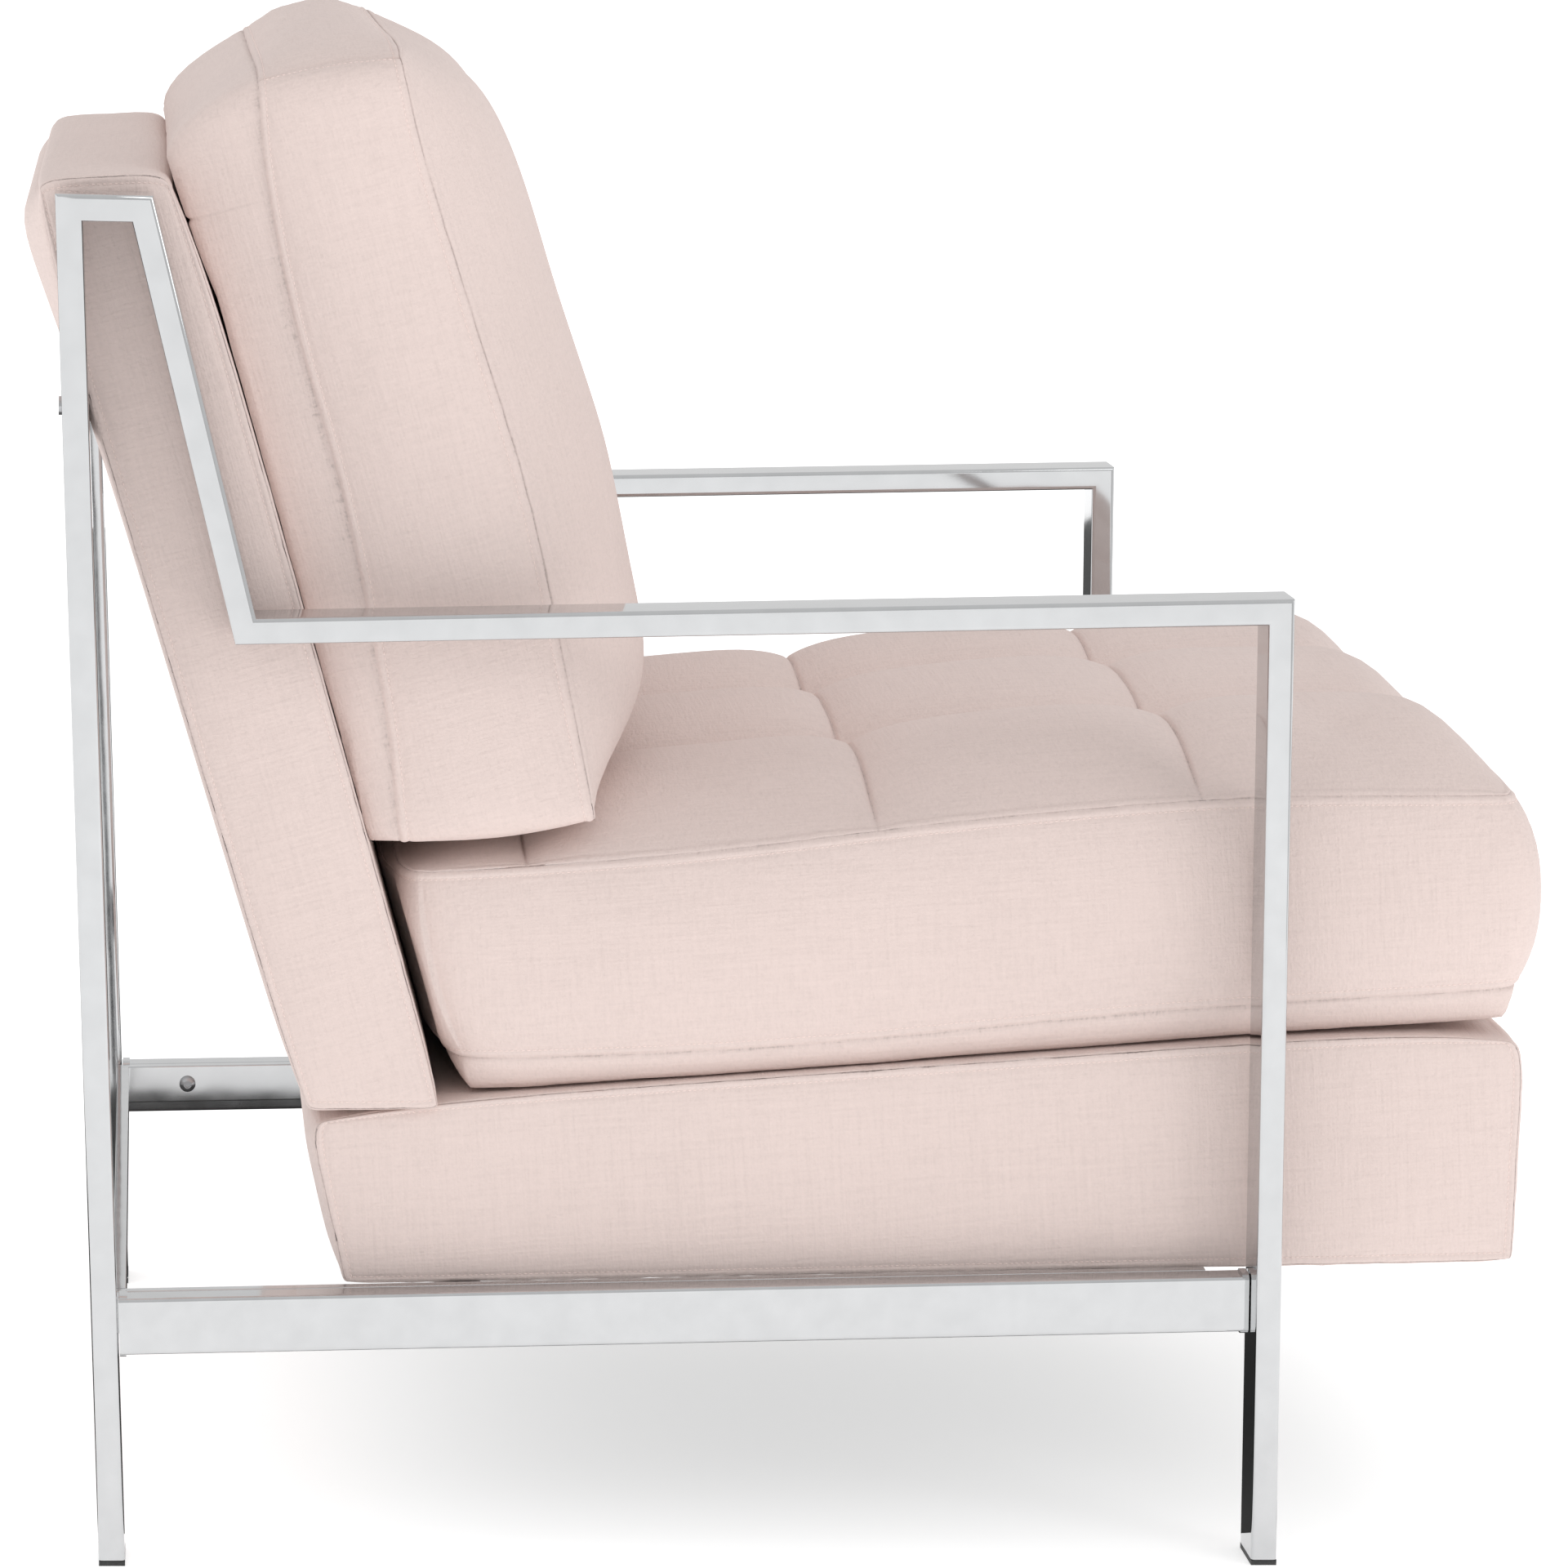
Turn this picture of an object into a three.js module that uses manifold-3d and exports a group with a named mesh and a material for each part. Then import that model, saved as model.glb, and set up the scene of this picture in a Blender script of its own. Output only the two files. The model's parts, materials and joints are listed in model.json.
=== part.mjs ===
// Lounge armchair: two closed-loop flat-tube side frames, a bolted seat sub-frame, an upholstered
// seat box and raked back shell, and two loose cushions. Millimetres, +Z up, floor at z = 0.
// Side views are drawn as [forward, up] points, forward measured from the back of the rear feet;
// the front of the chair faces -Y.
import * as THREE from "three";
import { mergeVertices } from "three/addons/utils/BufferGeometryUtils.js";
import Module from "manifold-3d";

const wasm = await Module();
wasm.setup();

const GAP = 0.3;
const HALF_DEPTH = 379.5; // forward distance from the rear feet to the middle of the whole chair

// Side frame
const FRAME_WIDTH = 704;
const TUBE_FACE = 14.5;
const TUBE_DEPTH = 38;
const TUBE_WALL = 1.5;
const TUBE_ROUND = 2.5;
const FRAME_PATH = {
  rearFoot: [7, 0],
  topRear: [-24.5, 752.75],
  topFront: [15.2, 752.75],
  armRear: [73.4, 524.4],
  armFront: [643.8, 543.5],
  frontFoot: [655.1, 0],
};
const CAP_HEIGHT = 3;
const TUBE_X = FRAME_WIDTH / 2 - TUBE_DEPTH / 2;
const CLEAR_HALF = FRAME_WIDTH / 2 - TUBE_DEPTH;

// Rails and sub-frame, in a seat frame that rises towards the front about its own origin
const SEAT_PITCH = THREE.MathUtils.degToRad(1.4);
const SEAT_ORIGIN = [0, 147];
const RAIL = { height: 32, thickness: 18, recess: 20, wall: 1.5 };
const RAIL_X = FRAME_WIDTH / 2 - RAIL.recess - RAIL.thickness / 2;
const BAR = { height: 24, thickness: 8 };
const BAR_X = RAIL_X - RAIL.thickness / 2 - GAP - BAR.thickness / 2;
const BAR_SPAN = [5, 622];
const CROSS_HALF = BAR_X - BAR.thickness / 2 - GAP;
const BOX_BEARERS = [200, 560];
const BEARER_WIDTH = 25;
const BEARER_DROP = 6; // how far the bearers' tops lie below the tops of the bars
const BOLT_AT = [51, 592];
const BOLT = { shank: 3, head: 5.25, headHeight: 3.3, socket: 2.3, length: 16 };

// Seat box
const BOX_HALF = 304;
const BOX_BOTTOM = -2;
const BOX_REAR = [135, 112]; // forward position of the rear face at its bottom and at its top
const BOX_FRONT = 800;
const BOX_TOP = [101, 139]; // height of the top at the rear and at the front
const COVER = 12;
const BOARD = 20;

// Back shell
const SHELL_HALF = 309;
const SHELL_TOP = 772;
const SHELL_FOOT = [114.3, 251.5];
const RAKE = THREE.MathUtils.degToRad(16.2);
const SHELL_DEPTH = 75;
const CROSS_RAIL_Z = 636;

// Cushions
const SEAT_CUSHION_HALF = 309;
const BACK_CUSHION_HALF = 306;

const metal = (color, roughness) => ({ color, roughness, metalness: 1 });
const MATERIALS = {
  chrome: metal(0xd9dbdd, 0.12),
  zinc: metal(0xb9bcc0, 0.35),
  spring_steel: metal(0x8b8e92, 0.45),
  cap: { color: 0x1c1c1e, roughness: 0.6, metalness: 0 },
  linen: { color: 0xe6d2ca, roughness: 0.95, metalness: 0 },
  plywood: { color: 0xc9a77a, roughness: 0.8, metalness: 0 },
  lining: { color: 0x222224, roughness: 0.95, metalness: 0 },
  webbing: { color: 0xb8a888, roughness: 0.9, metalness: 0 },
};

const group = new THREE.Group();
group.name = "lounge_armchair";

function add(name, geometry, material) {
  const mesh = new THREE.Mesh(geometry, new THREE.MeshStandardMaterial(MATERIALS[material]));
  mesh.name = name;
  mesh.geometry.computeVertexNormals();
  group.add(mesh);
}

// Booleans on three.js geometry
function toSolid(geometry) {
  const bare = new THREE.BufferGeometry();
  const loose = geometry.index ? geometry.toNonIndexed() : geometry;
  bare.setAttribute("position", loose.getAttribute("position"));
  const merged = mergeVertices(bare, 1e-4);
  return new wasm.Manifold(
    new wasm.Mesh({
      numProp: 3,
      vertProperties: merged.attributes.position.array,
      triVerts: new Uint32Array(merged.index.array),
    }),
  );
}

function toGeometry(solid) {
  const mesh = solid.getMesh();
  const indexed = new THREE.BufferGeometry();
  indexed.setAttribute("position", new THREE.BufferAttribute(mesh.vertProperties, 3));
  indexed.setIndex(new THREE.BufferAttribute(mesh.triVerts, 1));
  return indexed.toNonIndexed();
}

function subtract(geometry, ...cutters) {
  return toGeometry(cutters.reduce((left, cut) => left.subtract(toSolid(cut)), toSolid(geometry)));
}

function join(geometry, ...others) {
  return toGeometry(others.reduce((sum, other) => sum.add(toSolid(other)), toSolid(geometry)));
}

// Outlines
/** A closed outline whose corners are rounded by `radius`, or by a third number in a point. */
function roundedShape(points, radius) {
  const shape = new THREE.Shape();
  points.forEach(([a, b, own], i) => {
    const corner = new THREE.Vector2(a, b);
    const before = new THREE.Vector2(...points.at(i - 1).slice(0, 2)).sub(corner);
    const after = new THREE.Vector2(...points[(i + 1) % points.length].slice(0, 2)).sub(corner);
    const r = own ?? radius;
    const from = corner.clone().add(before.setLength(r));
    const to = corner.clone().add(after.setLength(r));
    if (i) shape.lineTo(from.x, from.y);
    else shape.moveTo(from.x, from.y);
    if (r > 0) shape.quadraticCurveTo(corner.x, corner.y, to.x, to.y);
  });
  shape.closePath();
  return shape;
}

function rectangle(width, height) {
  return [
    [-width / 2, -height / 2],
    [width / 2, -height / 2],
    [width / 2, height / 2],
    [-width / 2, height / 2],
  ];
}

// Solids
const SIDE_VIEW = new THREE.Matrix4().makeBasis(
  new THREE.Vector3(0, -1, 0),
  new THREE.Vector3(0, 0, 1),
  new THREE.Vector3(-1, 0, 0),
);

/** A side-view outline of counter-clockwise [forward, up] points, `width` thick about x. */
function sideSlab(points, x, width, { corner = 0, edge = 0, segments = 3 } = {}) {
  const shape = roundedShape(points, corner);
  const geometry = new THREE.ExtrudeGeometry(shape, {
    depth: width - 2 * edge,
    curveSegments: 5,
    bevelEnabled: edge > 0,
    bevelThickness: edge,
    bevelSize: edge,
    bevelOffset: -edge,
    bevelSegments: segments,
  });
  geometry.translate(0, 0, -(width / 2 - edge));
  return geometry.applyMatrix4(SIDE_VIEW).translate(x, HALF_DEPTH, 0);
}

/** A point of the side view in the chair's own axes. */
function at([forward, up], x = 0) {
  return new THREE.Vector3(x, HALF_DEPTH - forward, up);
}

/** A round-cornered bar between two side-view points, hollow when it has a wall. */
function bar(from, to, x, { width, thick, round, wall = 0, extra = 0 }) {
  const section = roundedShape(rectangle(width, thick), round);
  if (wall) {
    const hole = roundedShape(rectangle(width - 2 * wall, thick - 2 * wall).reverse(), 0);
    section.holes.push(hole);
  }
  const start = at(from, x);
  const direction = at(to, x).sub(start);
  const length = direction.length() + 2 * extra;
  direction.normalize();
  const across = new THREE.Vector3(1, 0, 0);
  const frame = new THREE.Matrix4().makeBasis(
    across,
    direction.clone().cross(across),
    direction,
  );
  const geometry = new THREE.ExtrudeGeometry(section, {
    depth: length,
    curveSegments: 4,
    bevelEnabled: false,
  });
  geometry.translate(0, 0, -extra).applyMatrix4(frame);
  return geometry.translate(start.x, start.y, start.z);
}

/** A big block that fills everything beyond a side-view point in a side-view direction. */
function beyond(point, direction, size = 300) {
  const normal = new THREE.Vector3(0, -direction[0], direction[1]).normalize();
  const block = new THREE.BoxGeometry(size, size, size);
  block.translate(0, 0, size / 2);
  block.applyQuaternion(
    new THREE.Quaternion().setFromUnitVectors(new THREE.Vector3(0, 0, 1), normal),
  );
  return block.translate(...at(point).toArray());
}

function shifted(geometry, x) {
  return geometry.translate(x, 0, 0);
}

function unit([a, b]) {
  const length = Math.hypot(a, b);
  return [a / length, b / length];
}

function minus(a, b) {
  return [a[0] - b[0], a[1] - b[1]];
}

/** Turns something drawn level in the seat frame to the seat's own pitch. */
function pitched(geometry) {
  const origin = at(SEAT_ORIGIN);
  geometry.translate(-origin.x, -origin.y, -origin.z);
  geometry.rotateX(-SEAT_PITCH);
  return geometry.translate(origin.x, origin.y, origin.z);
}

function seatPoint([along, height]) {
  return [SEAT_ORIGIN[0] + along, SEAT_ORIGIN[1] + height];
}

/** A slab drawn in the seat frame. */
function seatSlab(points, x, width, rounding) {
  return pitched(sideSlab(points.map(seatPoint), x, width, rounding));
}

/** A rectangle in the seat frame, given by its limits along the seat and up. */
function seatBlock([rear, front], [low, high], x, width, rounding) {
  const points = [
    [rear, low],
    [front, low],
    [front, high],
    [rear, high],
  ];
  return seatSlab(points, x, width, rounding);
}

/** A cylinder along x. */
function crossPin(point, x, radius, length, sides = 20) {
  const geometry = new THREE.CylinderGeometry(radius, radius, length, sides);
  return geometry.rotateZ(Math.PI / 2).translate(...at(point, x).toArray());
}

// Side frames
/** One tube of the frame loop, mitred against the tubes before and after it. */
function frameTube(before, from, to, after, x) {
  const tube = bar(from, to, x, {
    width: TUBE_DEPTH,
    thick: TUBE_FACE,
    round: TUBE_ROUND,
    wall: TUBE_WALL,
    extra: TUBE_DEPTH,
  });
  const along = unit(minus(to, from));
  const cutAt = (corner, outward, neighbour) => {
    const normal = neighbour
      ? unit([outward[0] + neighbour[0], outward[1] + neighbour[1]])
      : [0, -1];
    const back = neighbour ? GAP / 2 : CAP_HEIGHT + GAP;
    const point = [corner[0] - normal[0] * back, corner[1] - normal[1] * back];
    return shifted(beyond(point, normal), x);
  };
  const startNeighbour = before && unit(minus(before, from));
  const endNeighbour = after && unit(minus(after, to));
  return subtract(
    tube,
    cutAt(from, [-along[0], -along[1]], startNeighbour),
    cutAt(to, along, endNeighbour),
  );
}

function sideFrame(side, sign) {
  const { rearFoot, topRear, topFront, armRear, armFront, frontFoot } = FRAME_PATH;
  const x = sign * TUBE_X;
  const tubes = {
    rear_leg: [null, rearFoot, topRear, topFront],
    top_bar: [rearFoot, topRear, topFront, armRear],
    brace: [topRear, topFront, armRear, armFront],
    arm: [topFront, armRear, armFront, frontFoot],
    front_leg: [armRear, armFront, frontFoot, null],
  };
  for (const [name, corners] of Object.entries(tubes)) {
    add(`${name}_${side}`, frameTube(...corners, x), "chrome");
  }
  footCap(`rear_cap_${side}`, rearFoot, x);
  footCap(`front_cap_${side}`, frontFoot, x);
}

/** A flat glide with a plug that stands up inside the open tube end. */
function footCap(name, foot, x) {
  const outline = rectangle(TUBE_FACE, CAP_HEIGHT).map(([a, b]) => [
    foot[0] + a,
    foot[1] + b + CAP_HEIGHT / 2,
  ]);
  const plate = sideSlab(outline, x, TUBE_DEPTH, { edge: 0.8, segments: 2 });
  const inset = 2 * (TUBE_WALL + GAP);
  const plug = new THREE.BoxGeometry(TUBE_DEPTH - inset, TUBE_FACE - inset - 1, 16);
  plug.translate(...at([foot[0], CAP_HEIGHT + 7], x).toArray());
  add(name, join(plate, plug), "cap");
}

/** A leg's centre position, forward, at a height. */
function legAt(foot, top, up) {
  return foot[0] + ((top[0] - foot[0]) * up) / top[1];
}

function sideRail(side, sign) {
  const x = sign * RAIL_X;
  const { rearFoot, topRear, armFront, frontFoot } = FRAME_PATH;
  const centre = -RAIL.height / 2;
  const rise = Math.tan(SEAT_PITCH);
  const rearLevel = SEAT_ORIGIN[1] + centre;
  const frontLevel = rearLevel + frontFoot[0] * rise;
  const ends = [
    legAt(rearFoot, topRear, rearLevel) + TUBE_FACE / 2 + 2 * GAP,
    legAt(frontFoot, armFront, frontLevel) - TUBE_FACE / 2 - 2 * GAP,
  ];
  const section = { width: RAIL.thickness, thick: RAIL.height, round: 2 };
  const tube = pitched(
    bar(seatPoint([0, centre]), seatPoint([ends[1] + 10, centre]), x, {
      ...section,
      wall: RAIL.wall,
    }),
  );
  const point = (forward) => [forward, rearLevel + forward * rise];
  const legDirections = [unit(minus(topRear, rearFoot)), unit(minus(armFront, frontFoot))];
  const cuts = [
    beyond(point(ends[0]), [-legDirections[0][1], legDirections[0][0]]),
    beyond(point(ends[1]), [legDirections[1][1], -legDirections[1][0]]),
  ].map((cut) => shifted(cut, x));
  const beads = ends.map((end, i) => weldBead(point(end + (i ? -2 : 2)), x));
  const holes = BOLT_AT.map((along) => boltHole(along, sign));
  add(`side_rail_${side}`, subtract(join(tube, ...beads), ...cuts, ...holes), "chrome");
}

/** A raised weld around the rail where it meets a leg. */
function weldBead(point, x) {
  const outer = bar(minus(point, [2.2, 0]), [point[0] + 2.2, point[1]], x, {
    width: RAIL.thickness - 0.6,
    thick: RAIL.height + 3,
    round: 4,
  });
  const inner = bar(minus(point, [4, 0]), [point[0] + 4, point[1]], x, {
    width: RAIL.thickness - 2 * RAIL.wall,
    thick: RAIL.height - 2 * RAIL.wall,
    round: 0,
  });
  return subtract(outer, inner);
}

/** The hole of one rail bolt, through the sub-frame bar and the rail's inner wall. */
function boltHole(along, sign) {
  const length = 2 * (BOLT.length + 2);
  return pitched(
    crossPin(seatPoint([along, -BAR.height / 2]), sign * BAR_X, BOLT.shank + 0.3, length),
  );
}

// Seat sub-frame
function subFrame() {
  for (const [side, sign] of [["left", 1], ["right", -1]]) {
    const strip = seatBlock(BAR_SPAN, [-BAR.height, 0], sign * BAR_X, BAR.thickness, {
      edge: 0.8,
      segments: 2,
    });
    const holes = BOLT_AT.map((along) => boltHole(along, sign));
    add(`subframe_bar_${side}`, subtract(strip, ...holes), "chrome");
    BOLT_AT.forEach((along, i) => railBolt(`rail_bolt_${side}_${i + 1}`, along, sign));
  }
  const [rear, front] = BAR_SPAN;
  const width = 2 * CROSS_HALF;
  const cross = (name, from, top) => {
    const span = [from, from + BAR.thickness];
    add(name, seatBlock(span, [-BAR.height, top], 0, width, { corner: 0.8 }), "chrome");
  };
  cross("subframe_cross_rear", rear, 0);
  cross("subframe_cross_front", front - BAR.thickness, -BEARER_DROP);
  BOX_BEARERS.forEach((along, i) => {
    const bearer = seatBlock(
      [along - BEARER_WIDTH / 2, along + BEARER_WIDTH / 2],
      [-BEARER_DROP - BAR.thickness, -BEARER_DROP],
      0,
      width,
      { corner: 0.8 },
    );
    add(`box_bearer_${i + 1}`, bearer, "chrome");
  });
}

/** A button-head socket screw whose head sits on the inner face of the sub-frame bar. */
function railBolt(name, along, sign) {
  const face = BAR_X - BAR.thickness / 2 - GAP;
  const profile = [
    [0, -BOLT.length],
    [BOLT.shank, -BOLT.length],
    [BOLT.shank, 0],
    [BOLT.head, 0],
    [BOLT.head, 0.8],
    [BOLT.head * 0.8, 2.4],
    [BOLT.head * 0.5, BOLT.headHeight],
    [0, BOLT.headHeight],
  ].map(([r, z]) => new THREE.Vector2(r, z));
  const screw = new THREE.LatheGeometry(profile, 20);
  const socket = new THREE.CylinderGeometry(BOLT.socket, BOLT.socket, 4, 6);
  socket.translate(0, BOLT.headHeight, 0);
  const made = subtract(screw, socket);
  made.rotateZ((sign * Math.PI) / 2);
  const [forward, up] = seatPoint([along, -BAR.height / 2]);
  made.translate(...at([forward, up], sign * face).toArray());
  add(name, pitched(made), "zinc");
}

/** Rubber strips between the sub-frame bearers and the seat box. */
function boxStrips() {
  BOX_BEARERS.forEach((along, i) => {
    const heights = [GAP - BEARER_DROP, BOX_BOTTOM - GAP];
    const strip = seatBlock([along - 8, along + 8], heights, 0, 1.6 * BOX_HALF, { corner: 0.6 });
    add(`box_strip_${i + 1}`, strip, "cap");
  });
}

// Seat box
function boxTopAt(along) {
  const [rear, front] = BOX_TOP;
  return rear + ((front - rear) * (along - BOX_REAR[1])) / (BOX_FRONT - BOX_REAR[1]);
}

function boxRearAt(height) {
  const share = (height - BOX_BOTTOM) / (BOX_TOP[0] - BOX_BOTTOM);
  return BOX_REAR[0] + (BOX_REAR[1] - BOX_REAR[0]) * share;
}

/** The padded, fabric-covered walls of the seat box: each is a plain board. */
function boxCovers() {
  const width = 2 * BOX_HALF;
  const under = (along) => boxTopAt(along) - COVER - GAP;
  const rearUnder = under(BOX_REAR[1]);
  const front = BOX_FRONT - COVER;
  const rear = [
    [boxRearAt(BOX_BOTTOM), BOX_BOTTOM],
    [boxRearAt(BOX_BOTTOM) + COVER, BOX_BOTTOM],
    [boxRearAt(rearUnder) + COVER, rearUnder],
    [boxRearAt(rearUnder), rearUnder],
  ];
  add("box_cover_rear", seatSlab(rear, 0, width, { edge: 3, segments: 2 }), "linen");
  const frontWall = [
    [front, BOX_BOTTOM],
    [BOX_FRONT, BOX_BOTTOM, 3],
    [BOX_FRONT, under(BOX_FRONT), 3],
    [front, under(front)],
  ];
  add("box_cover_front", seatSlab(frontWall, 0, width, { edge: 3, segments: 2 }), "linen");
  const side = [
    [boxRearAt(BOX_BOTTOM) + COVER + GAP, BOX_BOTTOM],
    [front - GAP, BOX_BOTTOM],
    [front - GAP, under(front)],
    [boxRearAt(rearUnder) + COVER + GAP, rearUnder],
  ];
  for (const [name, sign] of [["left", 1], ["right", -1]]) {
    const wall = seatSlab(side, sign * (BOX_HALF - COVER / 2), COVER, { edge: 2, segments: 2 });
    add(`box_cover_${name}`, wall, "linen");
  }
  const deck = [
    [BOX_REAR[1], boxTopAt(BOX_REAR[1]) - COVER],
    [BOX_FRONT, boxTopAt(BOX_FRONT) - COVER],
    [BOX_FRONT, boxTopAt(BOX_FRONT), 8],
    [BOX_REAR[1], boxTopAt(BOX_REAR[1]), 4],
  ];
  add("box_deck", seatSlab(deck, 0, width, { edge: 3, segments: 2 }), "linen");
}

/** The plywood frame inside the seat box. */
function boxBoards() {
  const heights = [BOX_BOTTOM + 3, 82];
  const rear = [BOX_REAR[0] + COVER + 4, BOX_REAR[0] + COVER + 4 + BOARD];
  const front = [BOX_FRONT - COVER - 4 - BOARD, BOX_FRONT - COVER - 4];
  const half = BOX_HALF - COVER - 4;
  add("box_board_rear", seatBlock(rear, heights, 0, 2 * half), "plywood");
  add("box_board_front", seatBlock(front, heights, 0, 2 * half), "plywood");
  const between = [rear[1] + GAP, front[0] - GAP];
  for (const [name, sign] of [["left", 1], ["right", -1]]) {
    const x = sign * (half - BOARD / 2);
    add(`box_board_${name}`, seatBlock(between, heights, x, BOARD), "plywood");
  }
  seatSprings(rear[0], front[1], heights[1]);
  const lining = seatBlock([rear[0], front[1]], [BOX_BOTTOM, BOX_BOTTOM + 1.2], 0, 2 * half);
  add("box_lining", lining, "lining");
}

/** Zigzag springs that lie on the front and rear boards. */
function seatSprings(rear, front, top) {
  const count = 3;
  const wire = 2;
  const bends = 18;
  const spacing = (1.6 * BOX_HALF) / count;
  const bend = wire + GAP + top;
  for (let i = 0; i < count; i += 1) {
    const x = (i - (count - 1) / 2) * spacing;
    const path = [];
    for (let k = 0; k <= bends; k += 1) {
      const along = rear + 4 + ((front - rear - 8) * k) / bends;
      const offset = (k % 2 ? 1 : -1) * 22;
      path.push(at(seatPoint([along, bend]), x + offset));
    }
    const section = roundedShape(rectangle(1.8 * wire, 1.8 * wire), 0.9 * wire);
    const spring = new THREE.ExtrudeGeometry(section, {
      steps: 4 * bends,
      curveSegments: 1,
      extrudePath: new THREE.CatmullRomCurve3(path),
    });
    add(`seat_spring_${i + 1}`, pitched(spring), "spring_steel");
  }
}

// Back shell
/** A board parallel to the raked shell, between two depths from its rear face. */
function rakedSlab(depths, heights, x, width, rounding) {
  const rearAt = (up) => SHELL_FOOT[0] - (up - SHELL_FOOT[1]) * Math.tan(RAKE);
  const points = [
    [rearAt(heights[0]) + depths[0], heights[0]],
    [rearAt(heights[0]) + depths[1], heights[0]],
    [rearAt(heights[1]) + depths[1], heights[1]],
    [rearAt(heights[1]) + depths[0], heights[1]],
  ];
  return sideSlab(points, x, width, rounding);
}

function backShell() {
  const [low, high] = [SHELL_FOOT[1] + 1, SHELL_TOP - COVER - GAP];
  const clear = SHELL_FOOT[1] + 6;
  const inner = [COVER + GAP, SHELL_DEPTH - COVER - GAP];
  const width = 2 * SHELL_HALF;
  const soft = { edge: 3, segments: 2 };
  const rearHeights = [low, high];
  const rear = rakedSlab([0, COVER], rearHeights, 0, width, soft);
  const holes = [1, -1].map((sign) => backBoltHole(sign));
  add("back_cover_rear", subtract(rear, ...holes), "linen");
  const frontDepths = [SHELL_DEPTH - COVER, SHELL_DEPTH];
  add("back_cover_front", rakedSlab(frontDepths, [clear, high], 0, width, soft), "linen");
  const topDepths = [0, SHELL_DEPTH];
  add(
    "back_cover_top",
    rakedSlab(topDepths, [SHELL_TOP - COVER, SHELL_TOP], 0, width, soft),
    "linen",
  );
  const stile = [COVER + 8, SHELL_DEPTH - COVER - 8];
  const half = SHELL_HALF - COVER - 4;
  for (const [name, sign] of [["left", 1], ["right", -1]]) {
    const x = sign * (SHELL_HALF - COVER / 2);
    const cover = rakedSlab(inner, [clear, high], x, COVER, { edge: 2, segments: 2 });
    add(`back_cover_${name}`, cover, "linen");
    const post = rakedSlab(stile, [clear + 2, high - 14], sign * (half - 15), 30);
    add(`back_stile_${name}`, post, "plywood");
  }
  const between = 2 * (half - 30 - GAP);
  add("back_board_top", rakedSlab(stile, [high - 60, high - 14], 0, between), "plywood");
  add("back_board_bottom", rakedSlab(stile, [clear + 2, clear + 50], 0, between), "plywood");
  const board = rakedSlab(stile, [CROSS_RAIL_Z - 24, CROSS_RAIL_Z + 24], 0, between);
  add("back_board_middle", subtract(board, ...[1, -1].map((s) => backBoltHole(s))), "plywood");
  [0.3, 0.72].forEach((share, i) => {
    const up = clear + share * (high - clear);
    const strap = rakedSlab([stile[1] + GAP, stile[1] + 3], [up - 30, up + 30], 0, 2 * half);
    add(`back_strap_${i + 1}`, strap, "webbing");
  });
}

// Rear cross rail with its two shell fixings
const BACK_BOLT_X = 250;

function crossRailForward() {
  return legAt(FRAME_PATH.rearFoot, FRAME_PATH.topRear, CROSS_RAIL_Z);
}

/** A cylinder level with the rear cross rail, from one forward position to another. */
function levelRod(sign, from, to, radius, sides = 20) {
  const rod = new THREE.CylinderGeometry(radius, radius, to - from, sides);
  const middle = at([(from + to) / 2, CROSS_RAIL_Z], sign * BACK_BOLT_X);
  return rod.translate(...middle.toArray());
}

function backBoltHole(sign) {
  const forward = crossRailForward();
  return levelRod(sign, forward - 30, forward + 62, BOLT.shank + 0.3);
}

function backFixing() {
  const forward = crossRailForward();
  const half = CLEAR_HALF - GAP;
  const section = { width: TUBE_FACE - 1, thick: RAIL.height, round: 2, wall: RAIL.wall };
  const profile = roundedShape(rectangle(section.width, section.thick), section.round);
  const bore = rectangle(section.width - 2 * section.wall, section.thick - 2 * section.wall);
  profile.holes.push(roundedShape(bore.reverse(), 0));
  const rail = new THREE.ExtrudeGeometry(profile, {
    depth: 2 * half,
    curveSegments: 4,
    bevelEnabled: false,
  });
  rail.translate(0, 0, -half).applyMatrix4(SIDE_VIEW);
  rail.translate(0, HALF_DEPTH - forward, CROSS_RAIL_Z);
  add("back_cross_rail", subtract(rail, backBoltHole(1), backBoltHole(-1)), "chrome");
  const shellRear = SHELL_FOOT[0] - (CROSS_RAIL_Z - SHELL_FOOT[1]) * Math.tan(RAKE);
  const start = forward + section.width / 2 + GAP;
  for (const [side, sign] of [["left", 1], ["right", -1]]) {
    const sleeve = subtract(
      levelRod(sign, start, shellRear + 10, 7),
      levelRod(sign, start - 5, shellRear + 20, BOLT.shank + 0.3),
      rakedSlab([-GAP, 60], [CROSS_RAIL_Z - 40, CROSS_RAIL_Z + 40], 0, 2 * SHELL_HALF),
    );
    add(`back_sleeve_${side}`, sleeve, "chrome");
    const head = forward - section.width / 2 - GAP;
    const screw = join(
      levelRod(sign, head - 1, forward + 55, BOLT.shank),
      levelRod(sign, head - BOLT.headHeight, head, BOLT.head),
    );
    const socket = levelRod(sign, head - 5, head - 1.2, BOLT.socket, 6);
    add(`back_bolt_${side}`, subtract(screw, socket), "zinc");
  }
}

// Loose cushions
/** The seat cushion, crowned on top and lower at the rear, where the back cushion stands. */
function seatCushion() {
  const lift = GAP + 0.7;
  const outline = [
    [208, boxTopAt(208) + lift, 20],
    [796, boxTopAt(796) + lift, 20],
    [806, boxTopAt(800) + 60, 30],
    [782, boxTopAt(782) + 138, 34],
    [690, boxTopAt(690) + 157, 60],
    [480, boxTopAt(480) + 160, 60],
    [300, boxTopAt(300) + 143, 40],
    [174, boxTopAt(174) + 140, 22],
    [172, boxTopAt(172) + 90, 18],
    [184, boxTopAt(184) + 40, 18],
  ];
  const solid = seatSlab(outline, 0, 2 * SEAT_CUSHION_HALF, { edge: 18, segments: 4 });
  add("seat_cushion", solid, "linen");
}

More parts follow.
